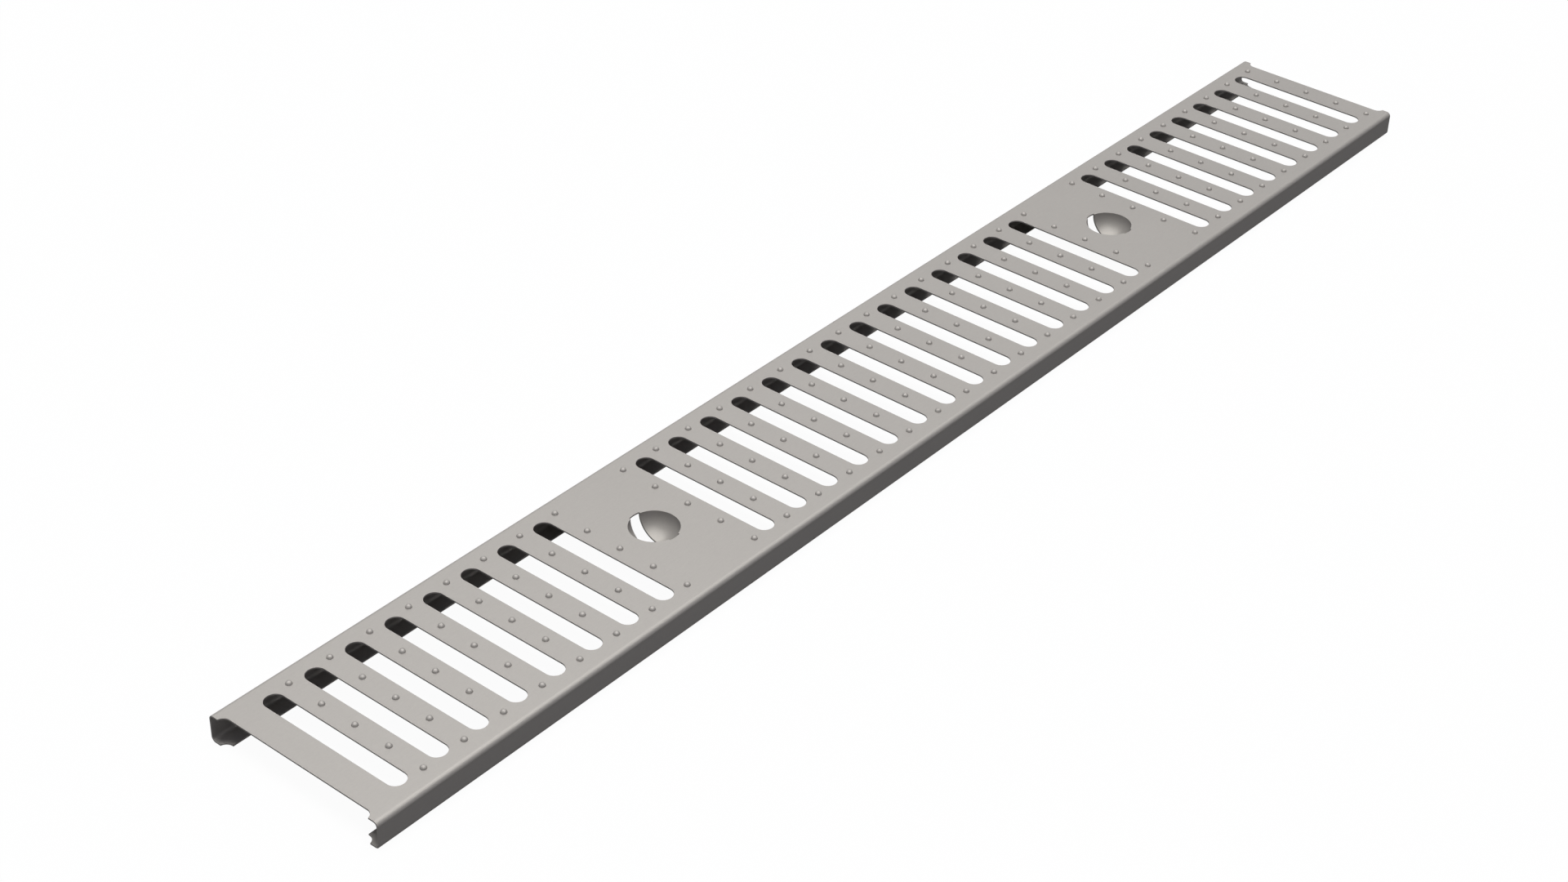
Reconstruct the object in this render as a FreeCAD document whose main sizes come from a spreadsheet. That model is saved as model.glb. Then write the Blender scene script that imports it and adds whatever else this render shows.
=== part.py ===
import FreeCAD, Part
import math
import os
import Sketcher

# Slotted drain grate: one stainless sheet, punched, pressed and then folded into a shallow channel
# that is open below. X runs along the grate from its near end, Y across it and Z up. The origin lies
# midway along the grate and across it, level with the underside of the two lips it rests on.

NODE = "grate_panel"

# Driving sizes in millimetres, and counts: name, value, meaning.
SIZES = (
    ("grate_length", 1000.0, "overall length, over the corner tabs"),
    ("grate_width", 125.0, "overall width, over the two flanges"),
    ("grate_height", 17.8, "from the underside of the lips to the top of the sheet"),
    ("sheet_thickness", 1.0, "thickness of the sheet"),
    ("bend_radius", 2.0, "inner radius of the four long folds"),
    ("lip_width", 12.0, "from a flange's outer face to the free edge of its lip"),
    ("slot_width", 12.0, "width of a drain slot, along the grate"),
    ("slot_length", 102.0, "length of a drain slot, across the grate"),
    ("slot_pitch", 28.57, "from one drain slot to the next"),
    ("first_slot_place", 29.0, "from the near end to the middle of the first drain slot"),
    ("end_group_slots", 8, "drain slots between an end and the bowl next to it"),
    ("slots_left_out", 2, "drain slots that make room for a bowl"),
    ("dimple_across", 4.2, "width of a raised dimple at its foot, over its corners"),
    ("dimple_top_across", 2.2, "width of a dimple's flat top, over its corners"),
    ("dimple_hollow_across", 3.4, "width of a dimple's hollow at the underside of the sheet"),
    ("dimple_rise", 2.0, "height of a dimple above the sheet, and of its hollow"),
    ("dimple_spacing", 25.0, "from one dimple to the next in its row"),
    ("dimples_in_row", 5, "dimples across the grate"),
    ("bowl_radius", 15.0, "inner radius of a pressed bowl, a hemisphere"),
    ("bowl_slot_width", 8.0, "width of the slot through a bowl, along the grate"),
    ("bowl_slot_length", 32.0, "length of the slot through a bowl, across the grate"),
    ("recess_depth", 4.0, "depth of the cut-back at each end, between the corner tabs"),
    ("recess_width", 112.0, "width of the cut-back where its corner arcs are widest"),
    ("recess_corner_radius", 5.0, "radius of the arcs at the cut-back's corners"),
)

# The places and counts that follow from the driving sizes.
HALF_LENGTH = "sizes.grate_length / 2"
HALF_WIDTH = "sizes.grate_width / 2"
SLOT_PLACES = "(floor(sizes.grate_length / sizes.slot_pitch) - 1)"
MIDDLE_SLOTS = f"({SLOT_PLACES} - 2 * sizes.end_group_slots - 2 * sizes.slots_left_out)"
BOWL_SPACING = f"({MIDDLE_SLOTS} + sizes.slots_left_out) * sizes.slot_pitch"
FIRST_BOWL = "(sizes.end_group_slots + (sizes.slots_left_out - 1) / 2)"

ORIGIN_POINT = (-1, 1)
UPRIGHT_AXIS = -2
START, END, CENTRE = 1, 2, 3


def place_of_slot(number):
    """X of the slot with this number, counted from 0 at the near end and going on past the bowls."""
    return f"sizes.first_slot_place + {number} * sizes.slot_pitch - {HALF_LENGTH}"


def point(x, y):
    return FreeCAD.Vector(x, y, 0)


def driving_sheet(doc):
    sheet = doc.addObject("Spreadsheet::Sheet", "sizes")
    for row, (alias, value, meaning) in enumerate(SIZES, start=1):
        sheet.set(f"A{row}", meaning)
        sheet.set(f"B{row}", str(value))
        sheet.setAlias(f"B{row}", alias)
    doc.recompute()
    return sheet


def origin_part(body, role):
    return next(part for part in body.Origin.OriginFeatures if part.Role == role)


def new_sketch(body, name, plane, **offset):
    """A sketch on one of the body's own planes, moved in the plane's axes by the bound offsets."""
    sketch = body.newObject("Sketcher::SketchObject", name)
    sketch.AttachmentSupport = [(origin_part(body, plane), "")]
    sketch.MapMode = "FlatFace"
    for axis, expression in offset.items():
        sketch.setExpression(f".AttachmentOffset.Base.{axis}", expression)
    return sketch


def plan_sketch(body, name, place_x="0"):
    """A sketch seen from above, level with the top of the sheet."""
    return new_sketch(body, name, "XY_Plane", x=place_x, z="sizes.grate_height")


def end_sketch(body, name, place_x):
    """A sketch seen from the far end of the grate, with its own origin on the top of the sheet."""
    return new_sketch(body, name, "YZ_Plane", z=place_x, y="sizes.grate_height")


def value_of(sketch, expression):
    return float(sketch.evalExpression(expression))


def bind(sketch, kind, where, expression):
    """A dimension that starts at its expression's value and stays bound to it."""
    index = sketch.addConstraint(Sketcher.Constraint(kind, *where, value_of(sketch, expression)))
    sketch.setExpression(f"Constraints[{index}]", expression)


def join(sketch, first, first_end, second, second_end, kind="Coincident"):
    sketch.addConstraint(Sketcher.Constraint(kind, first, first_end, second, second_end))


def add_line(sketch, start, end):
    return sketch.addGeometry(Part.LineSegment(start, end))


def add_arc(sketch, centre, start, end):
    """A counter-clockwise arc about the centre."""
    circle = Part.Circle(centre, FreeCAD.Vector(0, 0, 1), (start - centre).Length)
    return sketch.addGeometry(Part.ArcOfCircle(circle, circle.parameter(start), circle.parameter(end)))


def corner_arc(sketch, before, corner, after, radius):
    """The arc that rounds a square corner, and which of its ends the outline meets first."""
    back = (before - corner).normalize() * radius
    ahead = (after - corner).normalize() * radius
    turns_left = back.cross(ahead).z < 0
    ends = (corner + back, corner + ahead) if turns_left else (corner + ahead, corner + back)
    arc = add_arc(sketch, corner + back + ahead, *ends)
    return (arc, START, END) if turns_left else (arc, END, START)


def square_outline(sketch, corners):
    """A closed outline of level and upright edges, drawn counter-clockwise from a level one. Each
    corner is its X, its Y and the radius that rounds it, or None, and all three are expressions."""
    points = [point(value_of(sketch, x), value_of(sketch, y)) for x, y, _ in corners]
    count = len(corners)
    lines = []
    for index, start in enumerate(points):
        line = add_line(sketch, start, points[(index + 1) % count])
        level = index % 2 == 0
        sketch.addConstraint(Sketcher.Constraint("Horizontal" if level else "Vertical", line))
        lines.append(line)
    for index, (x, y, radius) in enumerate(corners):
        arriving, leaving = lines[index - 1], lines[index]
        if radius is None:
            join(sketch, arriving, END, leaving, START)
        else:
            before, after = points[index - 1], points[(index + 1) % count]
            size = value_of(sketch, radius)
            arc, first, last = corner_arc(sketch, before, points[index], after, size)
            join(sketch, arriving, END, arc, first, "Tangent")
            join(sketch, leaving, START, arc, last, "Tangent")
            bind(sketch, "Radius", (arc,), radius)
        level = index % 2 == 0
        kind, place = ("DistanceY", y) if level else ("DistanceX", x)
        bind(sketch, kind, (*ORIGIN_POINT, leaving, START), place)


def long_hole(sketch, width, length):
    """A hole with full-round ends, lying along the sketch's Y about its origin."""
    half_width = value_of(sketch, width) / 2
    reach = f"({length} - {width}) / 2"
    end_y = value_of(sketch, reach)
    right = add_line(sketch, point(half_width, -end_y), point(half_width, end_y))
    left = add_line(sketch, point(-half_width, end_y), point(-half_width, -end_y))
    top = add_arc(sketch, point(0, end_y), point(half_width, end_y), point(-half_width, end_y))
    foot = add_arc(sketch, point(0, -end_y), point(-half_width, -end_y), point(half_width, -end_y))
    for line in (right, left):
        sketch.addConstraint(Sketcher.Constraint("Vertical", line))
    join(sketch, right, END, top, START, "Tangent")
    join(sketch, top, END, left, START, "Tangent")
    join(sketch, left, END, foot, START, "Tangent")
    join(sketch, foot, END, right, START, "Tangent")
    sketch.addConstraint(Sketcher.Constraint("PointOnObject", top, CENTRE, UPRIGHT_AXIS))
    bind(sketch, "DistanceY", (*ORIGIN_POINT, top, CENTRE), reach)
    bind(sketch, "DistanceY", (*ORIGIN_POINT, foot, CENTRE), f"-{reach}")
    bind(sketch, "Radius", (top,), f"{width} / 2")


def round_ended_band(sketch, width, length):
    """A band across the sketch's origin whose ends are arcs about that origin."""
    half_width = value_of(sketch, width) / 2
    radius = value_of(sketch, length) / 2
    end_y = (radius ** 2 - half_width ** 2) ** 0.5
    right = add_line(sketch, point(half_width, -end_y), point(half_width, end_y))
    left = add_line(sketch, point(-half_width, end_y), point(-half_width, -end_y))
    top = add_arc(sketch, point(0, 0), point(half_width, end_y), point(-half_width, end_y))
    foot = add_arc(sketch, point(0, 0), point(-half_width, -end_y), point(half_width, -end_y))
    join(sketch, right, END, top, START)
    join(sketch, top, END, left, START)
    join(sketch, left, END, foot, START)
    join(sketch, foot, END, right, START)
    for line, side in ((right, ""), (left, "-")):
        sketch.addConstraint(Sketcher.Constraint("Vertical", line))
        bind(sketch, "DistanceX", (*ORIGIN_POINT, line, START), f"{side}{width} / 2")
    for arc in (top, foot):
        join(sketch, arc, CENTRE, *ORIGIN_POINT)
        bind(sketch, "Radius", (arc,), f"{length} / 2")


def quarter_outline(sketch, radius):
    """A quarter of a disc about the sketch's origin, between the sketch's X and the lower half of its Y."""
    size = value_of(sketch, radius)
    right, bottom = point(size, 0), point(0, -size)
    level = add_line(sketch, point(0, 0), right)
    axis = add_line(sketch, point(0, 0), bottom)
    arc = add_arc(sketch, point(0, 0), bottom, right)
    sketch.addConstraint(Sketcher.Constraint("Horizontal", level))
    sketch.addConstraint(Sketcher.Constraint("Vertical", axis))
    for piece, end in ((level, START), (axis, START), (arc, CENTRE)):
        join(sketch, piece, end, *ORIGIN_POINT)
    join(sketch, level, END, arc, END)
    join(sketch, axis, END, arc, START)
    bind(sketch, "Radius", (arc,), radius)


def half_outline(sketch, radius):
    """The right half of a disc about the sketch's origin."""
    size = value_of(sketch, radius)
    bottom, top = point(0, -size), point(0, size)
    axis = add_line(sketch, top, bottom)
    arc = add_arc(sketch, point(0, 0), bottom, top)
    sketch.addConstraint(Sketcher.Constraint("Vertical", axis))
    join(sketch, arc, CENTRE, *ORIGIN_POINT)
    join(sketch, axis, END, arc, START)
    join(sketch, axis, START, arc, END)
    sketch.addConstraint(Sketcher.Constraint("PointOnObject", axis, START, UPRIGHT_AXIS))
    bind(sketch, "Radius", (arc,), radius)


def turned(body, kind, name, sketch):
    """The sketch turned once round its own Y: a Revolution adds it and a Groove cuts it away."""
    feature = body.newObject(f"PartDesign::{kind}", name)
    feature.Profile = sketch
    feature.ReferenceAxis = (sketch, ["V_Axis"])
    feature.Angle = 360
    return feature


def pocket(body, name, sketch, depth=None):
    """A cut straight down from the sketch, to the depth or through all that lies below."""
    feature = body.newObject("PartDesign::Pocket", name)
    feature.Profile = sketch
    if depth is None:
        feature.Type = "ThroughAll"
    else:
        feature.Type = "Length"
        feature.setExpression("Length", depth)
    return feature


def repeat(body, name, originals, spacing, count):
    """Copies of the features along the grate, the first of them where the originals are."""
    pattern = body.newObject("PartDesign::LinearPattern", name)
    pattern.Originals = originals
    pattern.Direction = (origin_part(body, "X_Axis"), [""])
    pattern.Mode = "Spacing"
    pattern.setExpression("Offset", spacing)
    pattern.setExpression("Occurrences", count)
    body.Tip = pattern


def folded_channel(body):
    """The sheet's own section, with its two flanges and two lips, over the whole length."""
    thick = "sizes.sheet_thickness"
    inner_bend = "sizes.bend_radius"
    outer_bend = f"({inner_bend} + {thick})"
    top = "sizes.grate_height"
    under_top = f"({top} - {thick})"
    inner_face = f"({HALF_WIDTH} - {thick})"
    lip_edge = f"({HALF_WIDTH} - sizes.lip_width)"
    right_half = [
        (lip_edge, "0", None),
        (HALF_WIDTH, "0", outer_bend),
        (HALF_WIDTH, top, outer_bend),
    ]
    right_inside = [
        (inner_face, under_top, inner_bend),
        (inner_face, thick, inner_bend),
        (lip_edge, thick, None),
    ]
    left_half = [(f"-{x}", y, bend) for x, y, bend in reversed(right_half)]
    left_inside = [(f"-{x}", y, bend) for x, y, bend in reversed(right_inside)]
    section = new_sketch(body, "channel_section", "YZ_Plane")
    square_outline(section, right_half + left_half + left_inside + right_inside)
    channel = body.newObject("PartDesign::Pad", "folded_channel")
    channel.Profile = section
    channel.SideType = "Symmetric"
    channel.setExpression("Length", "sizes.grate_length")


def drain_slots(body, name, first_slot, count):
    """One group of drain slots. They go through the top of the sheet and stay clear of the lips."""
    outline = plan_sketch(body, f"{name}_slot_outline", place_of_slot(first_slot))
    long_hole(outline, "sizes.slot_width", "sizes.slot_length")
    slot = pocket(body, f"{name}_slot", outline, "2 * sizes.sheet_thickness")
    repeat(body, f"{name}_slots", [slot], "sizes.slot_pitch", count)


def pressed_bowls(body):
    """Two hemispherical bowls, pressed down between the groups of slots. Each is cut through by a
    slot that runs just past its rim."""
    place_x = place_of_slot(FIRST_BOWL)
    outside = "(sizes.bowl_radius + sizes.sheet_thickness)"
    shell_section = end_sketch(body, "bowl_shell_section", place_x)
    quarter_outline(shell_section, outside)
    shell = turned(body, "Revolution", "bowl_shell", shell_section)
    inside_section = end_sketch(body, "bowl_inside_section", place_x)
    half_outline(inside_section, "sizes.bowl_radius")
    inside = turned(body, "Groove", "bowl_inside", inside_section)
    slot_outline = plan_sketch(body, "bowl_slot_outline", place_x)
    round_ended_band(slot_outline, "sizes.bowl_slot_width", "sizes.bowl_slot_length")
    slot = pocket(body, "bowl_slot", slot_outline)
    repeat(body, "bowls", [shell, inside, slot], BOWL_SPACING, "2")


def end_recesses(body):
    """The cut-back at each end, straight down through the top and the lips. It leaves a tab at each
    corner, and its corner arcs show again as a notch in the lips."""
    bottom = f"sizes.recess_depth - {HALF_LENGTH}"
    outside = f"-({HALF_LENGTH} + sizes.recess_corner_radius)"
    side = "sizes.recess_width / 2"
    radius = "sizes.recess_corner_radius"
    outline = plan_sketch(body, "recess_outline")
    corners = [
        (outside, f"-{side}", None),
        (bottom, f"-{side}", radius),
        (bottom, side, radius),
        (outside, side, None),
    ]
    square_outline(outline, corners)
    near_recess = pocket(body, "near_recess", outline)
    both = body.newObject("PartDesign::Mirrored", "both_recesses")
    both.Originals = [near_recess]
    both.MirrorPlane = (origin_part(body, "YZ_Plane"), [""])
    body.Tip = both


def punched_sheet(doc):
    """The folded sheet with its slots, bowls and end recesses, before the dimples."""
    body = doc.addObject("PartDesign::Body", "punched_sheet")
    folded_channel(body)
    middle_start = "(sizes.end_group_slots + sizes.slots_left_out)"
    far_start = f"({SLOT_PLACES} - sizes.end_group_slots)"
    drain_slots(body, "near", "0", "sizes.end_group_slots")
    drain_slots(body, "middle", middle_start, MIDDLE_SLOTS)
    drain_slots(body, "far", far_start, "sizes.end_group_slots")
    pressed_bowls(body)
    end_recesses(body)
    return body


def hexagon(width, level):
    """The corners of a level hexagon about the upright axis."""
    corner = FreeCAD.Vector(width / 2, 0, level)
    upright = FreeCAD.Rotation(FreeCAD.Vector(0, 0, 1), 60)
    corners = [corner]
    for _ in range(5):
        corners.append(upright.multVec(corners[-1]))
    return corners


def flat_face(corners):
    return Part.Face(Part.makePolygon([*corners, corners[0]]))


def flat_sided(foot, top):
    """A solid with flat sides, from the foot's corners up to those of the top or up to a single tip."""
    faces = [flat_face(foot)]
    if len(top) > 1:
        faces.append(flat_face(top))
    for step, corner in enumerate(foot):
        above = [top[step], top[step - 1]] if len(top) > 1 else top
        faces.append(flat_face([foot[step - 1], corner, *above]))
    solid = Part.Solid(Part.Shell(faces))
    if solid.Volume < 0:
        solid.reverse()
    return solid


def slot_numbers(sheet):
    """The slot places that hold a slot; the others make room for the bowls."""
    places = math.floor(sheet.get("grate_length") / sheet.get("slot_pitch")) - 1
    group = int(sheet.get("end_group_slots"))
    left_out = int(sheet.get("slots_left_out"))
    middle = range(group + left_out, places - group - left_out)
    return {*range(group), *middle, *range(places - group, places)}


def dimple_places(sheet):
    """The middle of each dimple. A row of them stands midway after each slot place that has a slot
    before the row or beyond it."""
    slots = slot_numbers(sheet)
    count = int(sheet.get("dimples_in_row"))
    across = [(number - (count - 1) / 2) * sheet.get("dimple_spacing") for number in range(count)]
    first = sheet.get("first_slot_place") - sheet.get("grate_length") / 2
    rows = [number for number in range(max(slots) + 1) if {number, number + 1} & slots]
    return [point(first + (row + 0.5) * sheet.get("slot_pitch"), y) for row in rows for y in across]


def set_out(doc, name, solid, places):
    """One object that holds a copy of the solid at each place."""
    copies = []
    for place in places:
        copy = solid.copy()
        copy.translate(place)
        copies.append(copy)
    group = doc.addObject("Part::Feature", name)
    group.Shape = Part.makeCompound(copies)
    return group


def dimpled(doc, sheet, body):
    """The punched sheet with its pressed dimples: six-sided domes above the sheet, each with a
    pointed hollow of the same height below it."""
    places = dimple_places(sheet)
    top = sheet.get("grate_height")
    underside = top - sheet.get("sheet_thickness")
    rise = sheet.get("dimple_rise")
    foot = hexagon(sheet.get("dimple_across"), top)
    crown = hexagon(sheet.get("dimple_top_across"), top + rise)
    rim = hexagon(sheet.get("dimple_hollow_across"), underside)
    tip = [FreeCAD.Vector(0, 0, underside + rise)]
    raised = doc.addObject("Part::Fuse", "sheet_with_domes")
    raised.Base = body
    raised.Tool = set_out(doc, "dimple_domes", flat_sided(foot, crown), places)
    raised.Refine = False
    panel = doc.addObject("Part::Cut", NODE)
    panel.Base = raised
    panel.Tool = set_out(doc, "dimple_hollows", flat_sided(rim, tip), places)
    panel.Refine = False
    panel.Label = NODE
    panel.Placement = FreeCAD.Placement()
    return panel


def check(doc, panel):
    for item in doc.Objects:
        faults = [state for state in item.State if state in ("Invalid", "Error")]
        if faults:
            raise RuntimeError(f"{item.Name}: {item.State}")
    if panel.Shape.isNull() or not panel.Shape.isValid():
        raise RuntimeError(f"{panel.Label} has no valid shape")
    if len(panel.Shape.Solids) != 1:
        raise RuntimeError(f"{panel.Label} is {len(panel.Shape.Solids)} solids, not one")


def main():
    doc = FreeCAD.newDocument("drain_grate")
    sheet = driving_sheet(doc)
    panel = dimpled(doc, sheet, punched_sheet(doc))
    doc.recompute()
    check(doc, panel)
    os.makedirs("parts", exist_ok=True)
    panel.Shape.exportStep(f"parts/{panel.Label}.step")


main()
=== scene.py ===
"""Looks of the slotted drain grate: the folded, punched and pressed sheet as one mesh in satin steel."""

import math

import bpy
import numpy as np
from mathutils import Matrix, Vector
from mathutils.geometry import delaunay_2d_cdt


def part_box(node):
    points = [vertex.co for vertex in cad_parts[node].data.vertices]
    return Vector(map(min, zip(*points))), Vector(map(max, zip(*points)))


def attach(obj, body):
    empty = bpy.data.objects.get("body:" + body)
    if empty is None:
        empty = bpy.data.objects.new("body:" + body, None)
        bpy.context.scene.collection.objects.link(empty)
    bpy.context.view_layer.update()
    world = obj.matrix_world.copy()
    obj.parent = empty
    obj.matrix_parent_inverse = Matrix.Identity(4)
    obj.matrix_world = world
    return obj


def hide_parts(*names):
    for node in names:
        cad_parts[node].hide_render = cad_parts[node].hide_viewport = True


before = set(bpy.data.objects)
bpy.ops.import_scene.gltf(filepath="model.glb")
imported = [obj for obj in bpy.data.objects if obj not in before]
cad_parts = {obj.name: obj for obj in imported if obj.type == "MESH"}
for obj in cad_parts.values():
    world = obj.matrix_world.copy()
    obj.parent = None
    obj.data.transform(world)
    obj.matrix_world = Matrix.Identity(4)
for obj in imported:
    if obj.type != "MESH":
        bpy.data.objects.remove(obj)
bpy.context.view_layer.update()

# Sizes of the sheet, in millimetres
MM = 0.001
low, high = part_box("grate_panel")
LENGTH = (high.x - low.x) / MM
WIDTH = (high.y - low.y) / MM
TOP = 17.8
THICK = 1.0
BEND_RADIUS = 2.0
LIP_WIDTH = 12.0
EDGE_ROUND = 0.08

# Slots across the top, at places one pitch apart, and the places left out for the bowls
SLOT_WIDTH = 12.0
SLOT_LENGTH = 102.0
SLOT_PITCH = 28.57
FIRST_SLOT = 29.0
SLOT_PLACES = 34
END_GROUP = 8
SLOTS_LEFT_OUT = 2
GAP_STARTS = (END_GROUP, SLOT_PLACES - END_GROUP - SLOTS_LEFT_OUT)

# Raised dimples, in rows between the slots
DIMPLE_RISE = (high.z - low.z) / MM - TOP
DIMPLE_ACROSS = 4.2
DIMPLE_FILLET = 0.15
DIMPLE_SPACING = 25.0
DIMPLES_IN_ROW = 5

# Pressed bowls, each with a slot through its bottom
BOWL_RADIUS = 15.0
BOWL_RIM_ROUND = 0.1
BOWL_SLOT_WIDTH = 8.0
BOWL_SLOT_LENGTH = 32.0

# Cut-back of the top and the lips at each end
RECESS_DEPTH = 4.0
RECESS_WIDTH = 112.0
RECESS_CORNER = 5.0

# Fineness of the mesh. An outline that turns less than SMOOTH_TURN at a point is shaded as a curve there.
BEND_STEPS = 8
ARC_STEP = math.radians(7.5)
SMOOTH_TURN = math.radians(30)
DIMPLE_STEPS = 24
DIMPLE_RINGS = 6
BOWL_STEPS = 48
BOWL_ROWS = 24

# Points in one cell of a grid of WELD millimetres become one. WELD_SHIFT keeps round sizes off its borders.
WELD = 2e-4
WELD_SHIFT = 0.2371

# Lengths of the unfolded sheet, along the middle of its thickness, from the centre line to one edge
BEND_MIDDLE = BEND_RADIUS + THICK / 2
BEND_OUTER = BEND_RADIUS + THICK
BEND_LENGTH = math.pi / 2 * BEND_MIDDLE
FLAT_HALF = WIDTH / 2 - BEND_OUTER
FLANGE = TOP - 2 * BEND_OUTER
TOP_BEND_END = FLAT_HALF + BEND_LENGTH
FLANGE_END = TOP_BEND_END + FLANGE
LIP_START = FLANGE_END + BEND_LENGTH
HALF_BLANK = LIP_START + LIP_WIDTH - BEND_OUTER

# Steel: its colour and gloss, and how far the grain and the clouds change them
STEEL = (0.392, 0.373, 0.346)
METALLIC = 0.1
SPECULAR = 0.0
ROUGHNESS = 0.4
TONE_CHANGE = 0.025
SHEEN_CHANGE = 0.03
BUMP_STRENGTH = 0.25
BUMP_HEIGHT = 0.00002

# Noise in the steel, in waves a metre, and the parts of its range that are spread over the whole change.
# The grain is drawn out along the sheet.
GRAIN = (250.0, 1600.0, 1600.0)
SPECKS = 1500.0
CLOUDS = 14.0
RELIEF_RANGE = (0.35, 0.65)
CLOUD_RANGE = (0.3, 0.7)

# Studio, in metres and watts. The floor's bounce and the fill light matt surfaces only.
WHITE = (1.0, 1.0, 1.0, 1.0)
FLOOR_REACH = 40.0
FLOOR_DROP = 0.0002
FLOOR_WHITE = 0.96
FLOOR_PAINT = (0.95, 0.95, 0.95, 1.0)
FLOOR_BOUNCE = (0.05, 0.05, 0.05, 1.0)
FILL_TONE = (0.92, 0.93, 1.06, 1.0)
FILL_STRENGTH = 0.25
KEY_LAMP = {"direction": (0.0, 0.04, 1.0), "distance": 9.0, "side": 4.5, "power": 615.0}
GLOSS_LAMP = {"direction": (0.0, 0.0, 1.0), "distance": 4.0, "side": 7.0, "power": 800.0}

# The camera of the photograph: its place and directions in metres, its sensor and lens in millimetres
CAMERA_PLACE = (-1.1460, -0.8312, 0.9136 + TOP * MM)
CAMERA_RIGHT = (0.63884962, -0.76900362, 0.02246345)
CAMERA_UP = (0.42507726, 0.37716870, 0.82283236)
CAMERA_BACK = (-0.64123357, -0.51611744, 0.56784003)
SENSOR_WIDTH = 36.0
LENS = 62.413
NEAREST = 0.05
FARTHEST = 100.0

UPRIGHT = np.array([0.0, 0.0, 1.0])


def fold(points, depth):
    """Points of the unfolded sheet (along, across) at a height above its middle, at their place in the
    folded one, with the sheet's own across and up directions there."""
    across = np.abs(points[..., 1])
    side = np.where(points[..., 1] < 0, -1.0, 1.0)
    turn = np.clip((across - FLAT_HALF) / BEND_MIDDLE, 0, math.pi / 2)
    turn = turn + np.clip((across - FLANGE_END) / BEND_MIDDLE, 0, math.pi / 2)
    drop = np.clip(across - TOP_BEND_END, 0, FLANGE)
    back = np.clip(across - LIP_START, 0, None)
    reach = BEND_MIDDLE + depth
    y = side * (np.minimum(across, FLAT_HALF) + reach * np.sin(turn) - back)
    z = TOP - BEND_OUTER - drop + reach * np.cos(turn)
    nothing = np.zeros_like(y)
    place = np.stack([points[..., 0], y, z], axis=-1)
    over = np.stack([nothing, np.cos(turn), -side * np.sin(turn)], axis=-1)
    up = np.stack([nothing, side * np.sin(turn), np.cos(turn)], axis=-1)
    return place, over, up


class Skin:
    """Faces with a normal at each of their corners, welded into one closed mesh at the end."""

    def __init__(self):
        self.parts = []

    def add(self, places, normals):
        """A table of faces by corners by coordinates. Each face is turned to the side of its normals."""
        places = np.asarray(places, float)
        normals = np.broadcast_to(normals, places.shape)
        facing = np.cross(places[:, 2] - places[:, 0], places[:, -1] - places[:, 1])
        turned = (facing * normals.sum(axis=1)).sum(axis=1) < 0
        places = np.where(turned[:, None, None], places[:, ::-1], places)
        normals = np.where(turned[:, None, None], normals[:, ::-1], normals)
        self.parts.append((places, normals))

    def grid(self, places, normals):
        """Quads over a table of points."""
        normals = np.broadcast_to(normals, places.shape)
        corners = [(0, 0), (0, 1), (1, 1), (1, 0)]
        rows, columns = places.shape[0] - 1, places.shape[1] - 1
        made = []
        for table in (places, normals):
            quads = np.stack([table[r:r + rows, c:c + columns] for r, c in corners], axis=2)
            made.append(quads.reshape(-1, 4, 3))
        self.add(*made)

    def mesh(self, name):
        """One Blender mesh, in metres."""
        places = np.concatenate([part.reshape(-1, 3) for part, _ in self.parts])
        keys = np.floor(places / WELD + WELD_SHIFT).astype(np.int64)
        _, first, corner = np.unique(keys, axis=0, return_index=True, return_inverse=True)
        corner = corner.ravel()
        polygons, turned, start = [], [], 0
        for part, normals in self.parts:
            faces, sides = part.shape[:2]
            points = corner[start:start + faces * sides].reshape(faces, sides).tolist()
            start += faces * sides
            for face, directions in zip(points, normals.tolist()):
                kept = [k for k in range(sides) if face[k] != face[k - 1]]
                if len(kept) > 2:
                    polygons.append([face[k] for k in kept])
                    turned += [directions[k] for k in kept]
        mesh = bpy.data.meshes.new(name)
        mesh.from_pydata((places[first] * MM).tolist(), [], polygons)
        mesh.shade_smooth()
        mesh.normals_split_custom_set([Vector(direction).normalized() for direction in turned])
        return mesh


def arc(centre, radius, start, end):
    """Points on an arc from one angle to another."""
    count = max(2, round(abs(end - start) / ARC_STEP))
    turns = np.linspace(start, end, count + 1)
    return np.stack([centre[0] + radius * np.cos(turns), centre[1] + radius * np.sin(turns)], axis=1)


def next_along(table):
    """The rows of a closed table, each in the place of the one before it."""
    return np.roll(table, -1, axis=0)


def edge_directions(outline):
    """For each point of a closed outline with the sheet on its left: the directions into the sheet of the
    edges before and after it, and the one that keeps both edges parallel when it is moved inwards."""
    after = next_along(outline) - outline
    after = after / np.linalg.norm(after, axis=1, keepdims=True)
    after = np.stack([-after[:, 1], after[:, 0]], axis=1)
    before = np.roll(after, 1, axis=0)
    mitre = (before + after) / (1 + (before * after).sum(axis=1, keepdims=True))
    return before, after, mitre


def inset(outline):
    """The outline moved into the sheet by the rounding of its edges."""
    return outline + EDGE_ROUND * edge_directions(outline)[2]


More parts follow.
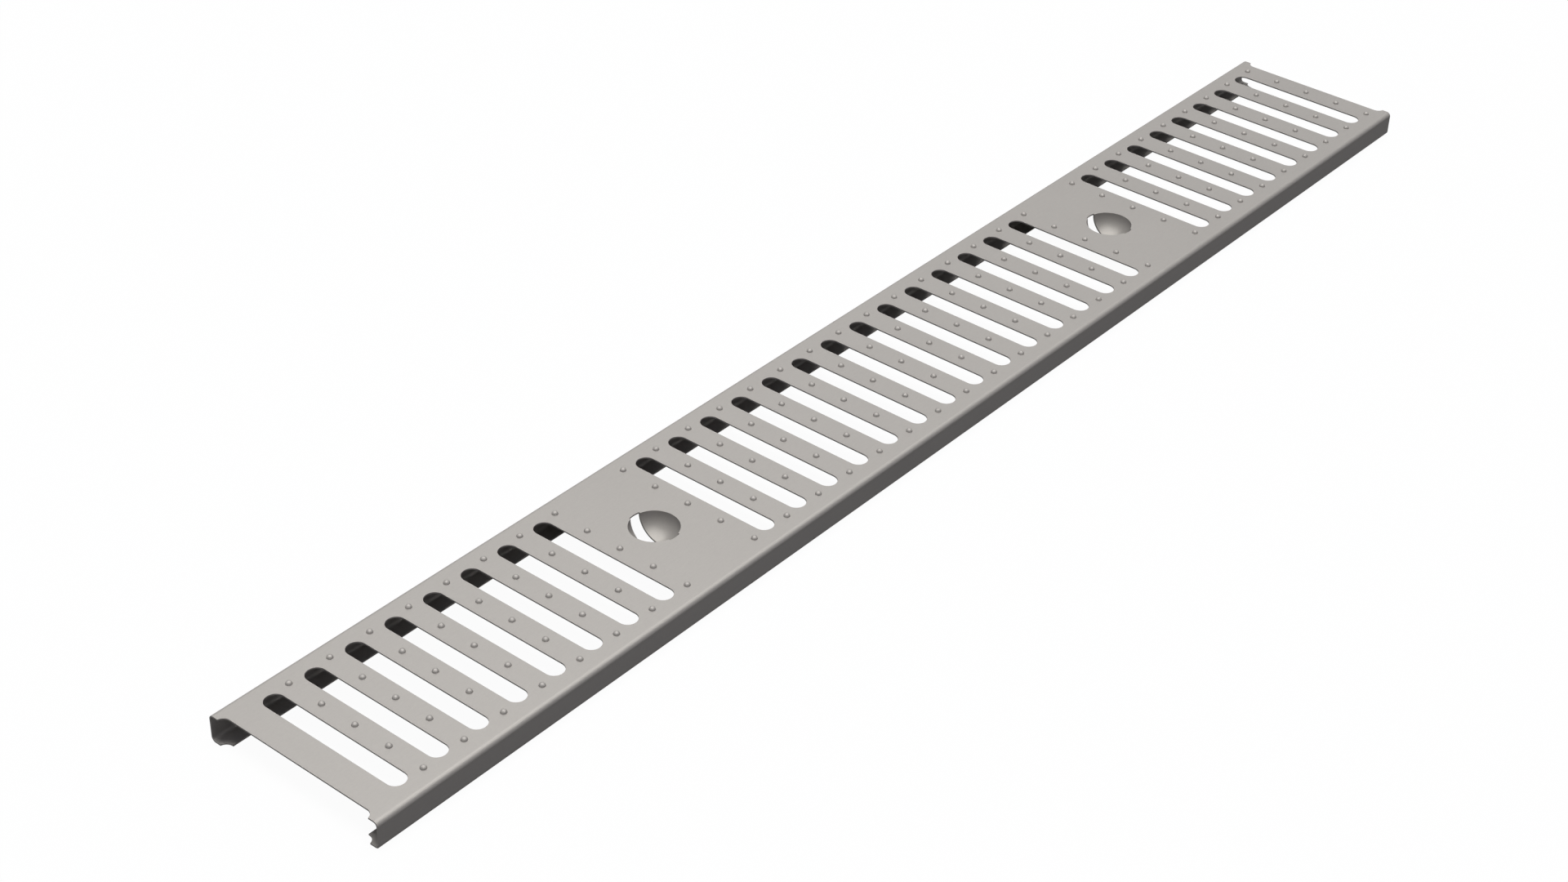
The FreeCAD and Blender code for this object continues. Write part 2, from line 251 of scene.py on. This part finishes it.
def cut_edge(skin, outline):
    """The wall of a cut outline, with its upper and lower edges a little rounded."""
    before, after, mitre = edge_directions(outline)
    smooth = (before * after).sum(axis=1, keepdims=True) > math.cos(SMOOTH_TURN)
    level = mitre / np.linalg.norm(mitre, axis=1, keepdims=True)
    starts = np.where(smooth, level, after)
    ends = np.where(smooth, level, before)
    half = THICK / 2
    profile = [
        (EDGE_ROUND, half, 1),
        (0.0, half - EDGE_ROUND, 0),
        (0.0, EDGE_ROUND - half, 0),
        (EDGE_ROUND, -half, -1),
    ]
    rows, row_starts, row_ends = [], [], []
    for offset, depth, lean in profile:
        place, over, up = fold(outline + offset * mitre, depth)
        rows.append(place)
        for directions, made in ((starts, row_starts), (ends, row_ends)):
            out = np.concatenate([-directions[:, :1], over[:, 1:] * -directions[:, 1:]], axis=1)
            made.append(out if lean == 0 else up * lean)
    for upper in range(len(profile) - 1):
        lower = upper + 1
        places = [rows[lower], next_along(rows[lower]), next_along(rows[upper]), rows[upper]]
        normals = [
            row_starts[lower],
            next_along(row_ends[lower]),
            next_along(row_ends[upper]),
            row_starts[upper],
        ]
        skin.add(np.stack(places, axis=1), np.stack(normals, axis=1))


def encloses(outline, points):
    """Which of the points lie inside a closed outline."""
    following = next_along(outline)
    x, y = points[:, :1], points[:, 1:]
    crosses = (outline[:, 1] > y) != (following[:, 1] > y)
    rise = np.where(crosses, following[:, 1] - outline[:, 1], 1.0)
    reach = outline[:, 0] + (following[:, 0] - outline[:, 0]) * (y - outline[:, 1]) / rise
    return (crosses & (x < reach)).sum(axis=1) % 2 == 1


def triangles_between(loops):
    """The triangles that fill the first closed loop without the others, as numbers of the loops' points."""
    points = np.concatenate(loops)
    owner = np.repeat(np.arange(len(loops)), [len(loop) for loop in loops])
    edges, first = [], 0
    for loop in loops:
        count = len(loop)
        edges += [(first + step, first + (step + 1) % count) for step in range(count)]
        first += count
    inside_only = 1
    closeness = 1e-5
    rough = [Vector(point) for point in points.tolist()]
    _, _, triangles, sources, *_ = delaunay_2d_cdt(rough, edges, [], inside_only, closeness, True)
    triangles = np.array([source[0] for source in sources])[np.array(triangles)]
    owners = owner[triangles]
    middles = points[triangles].mean(axis=1)
    kept = np.ones(len(triangles), bool)
    for number, loop in enumerate(loops):
        spanned = np.flatnonzero((owners == number).all(axis=1))
        kept[spanned] = encloses(loop, middles[spanned]) == (number == 0)
    return triangles[kept]


def flat_face(skin, outline, holes, depth):
    """A flat part of the sheet without its holes, on its outer face where depth is positive."""
    loops = [outline] + holes
    place, _, up = fold(np.concatenate(loops)[triangles_between(loops)], depth)
    skin.add(place, up * math.copysign(1, depth))


def bend_lines():
    """Where the lines of both bends lie across the unfolded sheet."""
    turns = np.linspace(0, BEND_LENGTH, BEND_STEPS + 1)
    return np.concatenate([FLAT_HALF + turns, FLANGE_END + turns])


def end_outline():
    """The edge of the unfolded sheet at its +X end, from one lip's inner edge to the other's."""
    end = LENGTH / 2
    bottom = end - RECESS_DEPTH
    corner_centre = RECESS_WIDTH / 2 - RECESS_CORNER
    last = math.acos((RECESS_DEPTH - RECESS_CORNER) / RECESS_CORNER)
    corner = arc((bottom + RECESS_CORNER, corner_centre), RECESS_CORNER, math.pi, last)
    bends = bend_lines()
    tab = np.stack([np.full_like(bends, end), bends], axis=1)
    lip_corner = np.stack([corner[:, 0], LIP_START + FLAT_HALF - corner[:, 1]], axis=1)
    half = np.concatenate([corner, tab, lip_corner[::-1], [(bottom, HALF_BLANK)]])
    return np.concatenate([half[::-1] * np.array([1.0, -1.0]), half])


def slot_outline(x):
    """The outline of one slot, with the sheet on its left."""
    radius = SLOT_WIDTH / 2
    straight = SLOT_LENGTH / 2 - radius
    far_end = arc((x, straight), radius, math.pi, 0)
    near_end = arc((x, -straight), radius, 0, -math.pi)
    return np.concatenate([far_end, near_end])


def along(number):
    """How far along the sheet a slot place lies, counted from 0. Halves are midway between two places."""
    return FIRST_SLOT - LENGTH / 2 + SLOT_PITCH * number


def slot_places():
    """The middle of each slot along the sheet."""
    gaps = {start + step for start in GAP_STARTS for step in range(SLOTS_LEFT_OUT)}
    return [along(number) for number in range(SLOT_PLACES) if number not in gaps]


def bowl_places():
    """The middle of each bowl, in the gap that two left-out slots leave."""
    return [along(start + (SLOTS_LEFT_OUT - 1) / 2) for start in GAP_STARTS]


def dimple_places():
    """The middle of each dimple: a row half a pitch past each slot place, but none through a bowl."""
    bowls = bowl_places()
    rows = [along(number + 0.5) for number in range(SLOT_PLACES)]
    rows = [x for x in rows if min(abs(x - bowl) for bowl in bowls) > BOWL_RADIUS]
    half = (DIMPLES_IN_ROW - 1) / 2
    return [(x, DIMPLE_SPACING * (step - half)) for x in rows for step in range(DIMPLES_IN_ROW)]


def dimple_base(centre):
    """The circle where a dimple leaves the flat sheet, with the sheet on its left."""
    turns = -np.arange(DIMPLE_STEPS) * 2 * math.pi / DIMPLE_STEPS
    return np.asarray(centre) + DIMPLE_ACROSS / 2 * np.stack([np.cos(turns), np.sin(turns)], axis=1)


def dimple(skin, centre, inward):
    """One face of a dimple: a hollow fillet that leaves the sheet, then a round cap. The inner face lies
    inward of the outer one by the sheet's thickness."""
    foot = DIMPLE_ACROSS / 2
    slope = 2 * math.atan(DIMPLE_RISE / foot)
    fillet = DIMPLE_FILLET + inward
    cap = foot / math.sin(slope) - fillet
    base = TOP - inward
    leans = np.linspace(0, slope, DIMPLE_RINGS // 2 + 1)
    profile = [(foot - fillet * math.sin(t), base + fillet * (1 - math.cos(t)), t) for t in leans]
    leans = np.linspace(slope, 0, DIMPLE_RINGS + 1)[1:]
    profile += [(cap * math.sin(t), base + DIMPLE_RISE - cap * (1 - math.cos(t)), t) for t in leans]
    turns = -np.arange(DIMPLE_STEPS + 1) * 2 * math.pi / DIMPLE_STEPS
    radial = np.stack([np.cos(turns), np.sin(turns), np.zeros_like(turns)], axis=1)
    middle = np.array([centre[0], centre[1], 0.0])
    places = np.stack([middle + radius * radial + height * UPRIGHT for radius, height, _ in profile])
    normals = np.stack([math.sin(t) * radial + math.cos(t) * UPRIGHT for _, _, t in profile])
    skin.grid(places, normals if inward == 0 else -normals)


def bowl_cap(radius, drop):
    """The part of a sphere about the bowl's centre that lies below a level and beyond the slot's side: rows
    of arcs between their two common corners, from the level one to the one along the slot."""
    half_slot = BOWL_SLOT_WIDTH / 2
    start = np.array([half_slot, 0.0, -drop])
    across = np.array([0.0, 1.0, 0.0])
    rows = []
    for tilt in np.linspace(0, math.pi / 2, BOWL_ROWS + 1):
        out = np.array([math.cos(tilt), 0.0, -math.sin(tilt)])
        middle = -half_slot * math.cos(tilt) - drop * math.sin(tilt)
        aside = drop * math.cos(tilt) - half_slot * math.sin(tilt)
        arc_radius = math.sqrt(radius ** 2 - aside ** 2)
        last = math.acos(-middle / arc_radius)
        turns = np.linspace(last, -last, BOWL_STEPS + 1)[:, None]
        outwards = (middle + arc_radius * np.cos(turns)) * out
        sideways = arc_radius * np.sin(turns) * across
        rows.append(start + outwards + sideways)
    return np.stack(rows)


def rim_arc(radius):
    """An arc about the bowl's centre beyond the slot's side, clockwise, with the points of a cap's row."""
    last = math.acos(BOWL_SLOT_WIDTH / 2 / radius)
    turns = np.linspace(last, -last, BOWL_STEPS + 1)
    return radius * np.stack([np.cos(turns), np.sin(turns)], axis=1)


def slot_end_arc():
    """The slot's end beyond the rim, on the -Y side, clockwise."""
    radius = BOWL_SLOT_LENGTH / 2
    lean = math.acos(BOWL_SLOT_WIDTH / 2 / radius)
    return arc((0.0, 0.0), radius, -lean, lean - math.pi)


def both_ways(half):
    """A half outline and its copy turned half round."""
    return np.concatenate([half, -half])


def bowl_holes():
    """The openings that a bowl leaves in the sheet's outer and inner faces, about the bowl's centre."""
    outer_rim = rim_arc(BOWL_RADIUS + BOWL_RIM_ROUND)
    inner_rim = rim_arc(BOWL_SLOT_LENGTH / 2)
    outer = both_ways(np.concatenate([outer_rim, slot_end_arc()]))
    inner = both_ways(np.concatenate([inner_rim[:-1], slot_end_arc()[:-1]]))
    return outer, inner


def at_height(points, z):
    """Level points with their height as a third coordinate."""
    return np.concatenate([points, np.full((len(points), 1), z)], axis=1)


def bowl(skin, x):
    """One pressed bowl with its slot: rim, hollow, shell below it and the cut walls of the slot."""
    hollow = bowl_cap(BOWL_RADIUS, BOWL_RIM_ROUND)
    shell = bowl_cap(math.hypot(BOWL_SLOT_LENGTH / 2, THICK), THICK)
    rim = at_height(rim_arc(BOWL_RADIUS + BOWL_RIM_ROUND), 0.0)
    rim_normals = np.stack([np.broadcast_to(UPRIGHT, rim.shape), -hollow[0] / BOWL_RADIUS])
    slot_end = slot_end_arc()
    corners = at_height(np.stack([-slot_end[-1], slot_end[0]]), 0.0)
    wall_inner = np.concatenate([rim[:1], hollow[-1], rim[-1:]])
    wall_outer = np.concatenate([corners[:1], shell[-1], corners[-1:]])
    end_top = at_height(slot_end, 0.0)
    end_bottom = at_height(slot_end, -THICK)
    parts = [
        (hollow, -hollow),
        (shell, shell),
        (np.stack([rim, hollow[0]]), rim_normals),
        (np.stack([wall_inner, wall_outer]), np.array([-1.0, 0.0, 0.0])),
        (np.stack([end_top, end_bottom]), -np.stack([end_top, end_top])),
    ]
    for turned in (1.0, -1.0):
        turn = np.array([turned, turned, 1.0])
        for places, normals in parts:
            skin.grid(places * turn + np.array([x, 0.0, TOP]), normals * turn)


def grate_sheet():
    """The whole sheet as one mesh."""
    skin = Skin()
    blank = both_ways(end_outline())
    slots = [slot_outline(x) for x in slot_places()]
    dimples = dimple_places()
    for outline in [blank] + slots:
        cut_edge(skin, outline)
    border = inset(blank)
    across = border[:, 1]
    margin = BEND_LENGTH / BEND_STEPS / 2
    top = border[np.abs(across) < FLAT_HALF + margin]
    lips = [border[side * across > LIP_START - margin] for side in (1, -1)]
    lines = bend_lines()
    ends = np.array([1.0, -1.0]) * (LENGTH / 2 - EDGE_ROUND)
    for depth, bowl_hole in zip((THICK / 2, -THICK / 2), bowl_holes()):
        holes = [inset(slot) for slot in slots] + [dimple_base(place) for place in dimples]
        holes += [bowl_hole + np.array([x, 0.0]) for x in bowl_places()]
        flat_face(skin, top, holes, depth)
        for lip in lips:
            flat_face(skin, lip, [], depth)
        for side in (1, -1):
            points = np.stack(np.broadcast_arrays(ends[None, :], side * lines[:, None]), axis=-1)
            place, _, up = fold(points, depth)
            skin.grid(place, up * math.copysign(1, depth))
        for place in dimples:
            dimple(skin, place, THICK / 2 - depth)
    for x in bowl_places():
        bowl(skin, x)
    return bpy.data.objects.new("grate_sheet", skin.mesh("grate_sheet"))


def node(tree, kind, **settings):
    """A new node with some of its inputs or properties set."""
    made = tree.nodes.new(kind)
    for name, value in settings.items():
        if name in made.inputs:
            made.inputs[name].default_value = value
        else:
            setattr(made, name, value)
    return made


def maths(tree, operation, first, second):
    """The result of a maths node on an output and another output or a number."""
    made = node(tree, "ShaderNodeMath", operation=operation)
    tree.links.new(first, made.inputs[0])
    if isinstance(second, float):
        made.inputs[1].default_value = second
    else:
        tree.links.new(second, made.inputs[1])
    return made.outputs["Value"]


def noise(tree, places, scale, detail, roughness):
    """Noise about one half at each place."""
    made = node(tree, "ShaderNodeTexNoise", Scale=scale, Detail=detail, Roughness=roughness)
    tree.links.new(places, made.inputs["Vector"])
    return made.outputs["Fac"]


def spread(tree, value, given, wanted):
    """A value with one range spread over another and held within that."""
    ends = {"From Min": given[0], "From Max": given[1], "To Min": wanted[0], "To Max": wanted[1]}
    made = node(tree, "ShaderNodeMapRange", **ends)
    tree.links.new(value, made.inputs["Value"])
    return made.outputs["Result"]


def satin_steel():
    """Cold rolled stainless sheet with a fine satin face: a faint grain along the sheet, slight clouds in
    its sheen, and a very shallow bump."""
    material = bpy.data.materials.new("satin_steel")
    material.use_nodes = True
    tree = material.node_tree
    link = tree.links.new
    shader = tree.nodes["Principled BSDF"]
    shader.inputs["Metallic"].default_value = METALLIC
    shader.inputs["Specular IOR Level"].default_value = SPECULAR
    places = node(tree, "ShaderNodeTexCoord").outputs["Object"]
    drawn = node(tree, "ShaderNodeMapping", Scale=GRAIN)
    link(places, drawn.inputs["Vector"])
    grain = noise(tree, drawn.outputs["Vector"], scale=1.0, detail=3.0, roughness=0.6)
    specks = noise(tree, places, scale=SPECKS, detail=2.0, roughness=0.5)
    clouds = noise(tree, places, scale=CLOUDS, detail=3.0, roughness=0.55)
    relief = maths(tree, "MULTIPLY", maths(tree, "ADD", grain, specks), 0.5)
    colours = node(tree, "ShaderNodeMix", data_type="RGBA")
    colours.inputs["A"].default_value = (*[part * (1 - TONE_CHANGE) for part in STEEL], 1.0)
    colours.inputs["B"].default_value = (*[part * (1 + TONE_CHANGE) for part in STEEL], 1.0)
    link(spread(tree, relief, RELIEF_RANGE, (0.0, 1.0)), colours.inputs["Factor"])
    link(colours.outputs["Result"], shader.inputs["Base Color"])
    sheens = (ROUGHNESS - SHEEN_CHANGE, ROUGHNESS + SHEEN_CHANGE)
    link(spread(tree, clouds, CLOUD_RANGE, sheens), shader.inputs["Roughness"])
    bump = node(tree, "ShaderNodeBump", Strength=BUMP_STRENGTH, Distance=BUMP_HEIGHT)
    link(relief, bump.inputs["Height"])
    link(bump.outputs["Normal"], shader.inputs["Normal"])
    return material


def seen_share(tree, share):
    """A share for what the camera, the gloss or a clear thing sees, and 0 for what lights matt surfaces."""
    ray = node(tree, "ShaderNodeLightPath").outputs
    direct = maths(tree, "MAXIMUM", ray["Is Camera Ray"], ray["Is Glossy Ray"])
    seen = maths(tree, "MAXIMUM", direct, ray["Is Transmission Ray"])
    return maths(tree, "MULTIPLY", seen, share)


def floor_material():
    """A matt floor. Seen directly or in the metal it is white, with some of the object's shadow kept."""
    material = bpy.data.materials.new("white_floor")
    material.use_nodes = True
    tree = material.node_tree
    link = tree.links.new
    tree.nodes.clear()
    colour = node(tree, "ShaderNodeMix", data_type="RGBA")
    colour.inputs["A"].default_value = FLOOR_BOUNCE
    colour.inputs["B"].default_value = FLOOR_PAINT
    link(seen_share(tree, 1.0), colour.inputs["Factor"])
    matt = node(tree, "ShaderNodeBsdfDiffuse")
    link(colour.outputs["Result"], matt.inputs["Color"])
    white = node(tree, "ShaderNodeEmission", Color=WHITE, Strength=1.0)
    mix = node(tree, "ShaderNodeMixShader")
    link(seen_share(tree, FLOOR_WHITE), mix.inputs["Fac"])
    link(matt.outputs["BSDF"], mix.inputs[1])
    link(white.outputs["Emission"], mix.inputs[2])
    output = node(tree, "ShaderNodeOutputMaterial")
    link(mix.outputs["Shader"], output.inputs["Surface"])
    return material


def add_floor():
    """A wide level floor just under the lips."""
    mesh = bpy.data.meshes.new("floor")
    corners = [(-1, -1), (1, -1), (1, 1), (-1, 1)]
    mesh.from_pydata([(x * FLOOR_REACH, y * FLOOR_REACH, 0.0) for x, y in corners], [], [(0, 1, 2, 3)])
    floor = bpy.data.objects.new("floor", mesh)
    floor.location.z = -FLOOR_DROP
    floor.data.materials.append(floor_material())
    bpy.context.scene.collection.objects.link(floor)


def add_world():
    """Soft surroundings, white where they are seen directly or in the metal."""
    world = bpy.data.worlds.new("studio")
    bpy.context.scene.world = world
    world.use_nodes = True
    tree = world.node_tree
    link = tree.links.new
    tree.nodes.clear()
    soft = node(tree, "ShaderNodeBackground", Color=FILL_TONE, Strength=FILL_STRENGTH)
    white = node(tree, "ShaderNodeBackground", Color=WHITE, Strength=1.0)
    mix = node(tree, "ShaderNodeMixShader")
    link(seen_share(tree, 1.0), mix.inputs["Fac"])
    link(soft.outputs["Background"], mix.inputs[1])
    link(white.outputs["Background"], mix.inputs[2])
    output = node(tree, "ShaderNodeOutputWorld")
    link(mix.outputs["Shader"], output.inputs["Surface"])


def add_softbox(name, direction, distance, side, power, on_matt=True, in_gloss=True):
    """A square area lamp that looks at the middle of the object from a direction. It lights matt surfaces,
    or shows in the gloss of shiny ones, or both."""
    lamp = bpy.data.lights.new(name, "AREA")
    lamp.shape = "SQUARE"
    lamp.size = side
    lamp.energy = power
    thing = bpy.data.objects.new(name, lamp)
    away = Vector(direction).normalized()
    thing.location = away * distance
    thing.rotation_mode = "QUATERNION"
    thing.rotation_quaternion = (-away).to_track_quat("-Z", "Y")
    thing.visible_diffuse = on_matt
    thing.visible_glossy = in_gloss
    bpy.context.scene.collection.objects.link(thing)


def add_camera():
    """The camera, where the photograph was taken from."""
    camera = bpy.data.objects.new("camera", bpy.data.cameras.new("camera"))
    camera.data.sensor_width = SENSOR_WIDTH
    camera.data.lens = LENS
    camera.data.clip_start = NEAREST
    camera.data.clip_end = FARTHEST
    turn = Matrix((CAMERA_RIGHT, CAMERA_UP, CAMERA_BACK)).transposed().to_4x4()
    camera.matrix_world = Matrix.Translation(CAMERA_PLACE) @ turn
    bpy.context.scene.collection.objects.link(camera)
    bpy.context.scene.camera = camera


def add_grate():
    """The fine sheet in place of the plain one."""
    grate = grate_sheet()
    bpy.context.scene.collection.objects.link(grate)
    grate.data.materials.append(satin_steel())
    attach(grate, "root")
    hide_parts("grate_panel")


add_grate()
add_floor()
add_world()
add_softbox("key", **KEY_LAMP, in_gloss=False)
add_softbox("gloss", **GLOSS_LAMP, on_matt=False)
add_camera()
bpy.context.scene.view_settings.view_transform = "Standard"
